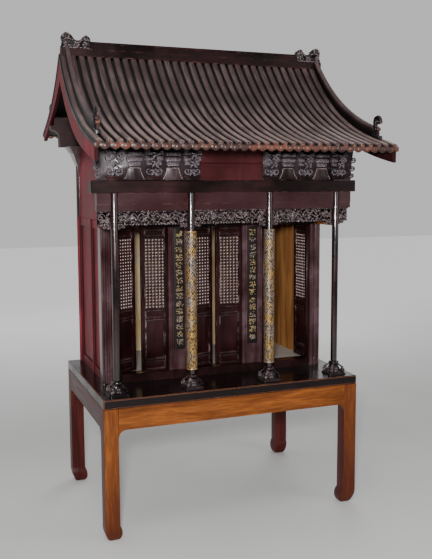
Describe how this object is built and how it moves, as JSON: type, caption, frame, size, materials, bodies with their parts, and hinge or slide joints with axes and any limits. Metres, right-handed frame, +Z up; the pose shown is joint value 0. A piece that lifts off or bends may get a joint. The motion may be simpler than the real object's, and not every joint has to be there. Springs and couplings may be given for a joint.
{
  "type": "ancestral shrine",
  "caption": "Wooden ancestral shrine as a small temple hall: tiled gable roof, columned porch, lattice doors and gilt boards, on a table stand with hoof feet.",
  "frame": {"origin": "on the ground, under the middle of the roof's outline", "axes": "+X along the front to the viewer's right, +Y from the front to the back, +Z up"},
  "size_m": [1.2154, 1.158, 2.004],
  "materials": {
    "honey_wood": "polished, worn redder down the legs",
    "dark_lacquer": "near-black gloss lacquer with worn edges",
    "door_lacquer": "dark red-brown lacquer",
    "carved_lacquer": "carved, lacquered, rubbed on the high points",
    "bare_wood": "bare, dusty",
    "worn_gilding": "gold leaf worn through to dark lacquer",
    "tile_lacquer": "carved wooden tiles, weathered grey-brown, rubbed to red-brown along the eave"
  },
  "bodies": {
    "shrine": {"stand_leg_front_left": "honey_wood", "stand_leg_front_right": "honey_wood", "stand_leg_back_left": "honey_wood", "stand_leg_back_right": "honey_wood", "apron_front": "honey_wood", "apron_back": "honey_wood", "apron_left": "honey_wood", "apron_right": "honey_wood", "base_board": "dark_lacquer", "sill": "dark_lacquer", "head_rail": "dark_lacquer", "ceiling_board": "dark_lacquer", "corner_post_left": "dark_lacquer", "corner_post_right": "dark_lacquer", "side_panel_left": "dark_lacquer", "side_panel_right": "dark_lacquer", "upper_side_left": "dark_lacquer", "upper_side_right": "dark_lacquer", "pilaster_left": "dark_lacquer", "pilaster_right": "dark_lacquer", "column_1": "dark_lacquer", "column_2": "dark_lacquer", "column_3": "dark_lacquer", "column_4": "dark_lacquer", "architrave": "dark_lacquer", "tie_beam": "dark_lacquer", "frieze_board": "dark_lacquer", "ridge_board": "dark_lacquer", "rear_purlin": "dark_lacquer", "gable_boards_left": "dark_lacquer", "gable_boards_right": "dark_lacquer", "case_floor": "bare_wood", "back_panel": "bare_wood", "inscription_left": "worn_gilding", "inscription_right": "worn_gilding", "gilt_sleeve_left": "worn_gilding", "gilt_sleeve_right": "worn_gilding", "column_base_1": "carved_lacquer", "column_base_2": "carved_lacquer", "column_base_3": "carved_lacquer", "column_base_4": "carved_lacquer", "frieze_left": "carved_lacquer", "frieze_centre": "carved_lacquer", "frieze_right": "carved_lacquer", "bracket_set_left": "carved_lacquer", "bracket_set_right": "carved_lacquer", "finial_left": "carved_lacquer", "finial_right": "carved_lacquer", "hanging_ridge_front_left": "carved_lacquer", "hanging_ridge_front_right": "carved_lacquer", "hanging_ridge_rear_left": "carved_lacquer", "hanging_ridge_rear_right": "carved_lacquer", "roof_front": "tile_lacquer", "roof_rear": "tile_lacquer"},
    "leaf_left_bay_left": {"door_left_bay_left": "door_lacquer"},
    "leaf_left_bay_right": {"door_left_bay_right": "door_lacquer"},
    "leaf_centre_bay_left": {"door_centre_bay_left": "door_lacquer"},
    "leaf_centre_bay_right": {"door_centre_bay_right": "door_lacquer"},
    "leaf_right_bay_left": {"door_right_bay_left": "door_lacquer"},
    "leaf_right_bay_right": {"door_right_bay_right": "door_lacquer"}
  },
  "joints": [
    {"name": "hinge_left_bay_left", "type": "hinge", "parent": "shrine", "child": "leaf_left_bay_left", "pos_m": [-0.4368, -0.122, 0.9022], "axis": [0, 0, 1], "range_deg": [-31, 59]},
    {"name": "hinge_left_bay_right", "type": "hinge", "parent": "shrine", "child": "leaf_left_bay_right", "pos_m": [-0.2232, -0.122, 0.9022], "axis": [0, 0, -1], "range_deg": [0, 90]},
    {"name": "hinge_centre_bay_left", "type": "hinge", "parent": "shrine", "child": "leaf_centre_bay_left", "pos_m": [-0.1098, -0.122, 0.9022], "axis": [0, 0, 1], "range_deg": [-20, 70]},
    {"name": "hinge_centre_bay_right", "type": "hinge", "parent": "shrine", "child": "leaf_centre_bay_right", "pos_m": [0.1098, -0.122, 0.9022], "axis": [0, 0, -1], "range_deg": [0, 90]},
    {"name": "hinge_right_bay_left", "type": "hinge", "parent": "shrine", "child": "leaf_right_bay_left", "pos_m": [0.2232, -0.122, 0.9022], "axis": [0, 0, 1], "range_deg": [-88, 2]},
    {"name": "hinge_right_bay_right", "type": "hinge", "parent": "shrine", "child": "leaf_right_bay_right", "pos_m": [0.4368, -0.122, 0.9022], "axis": [0, 0, -1], "range_deg": [-88, 2]}
  ]
}
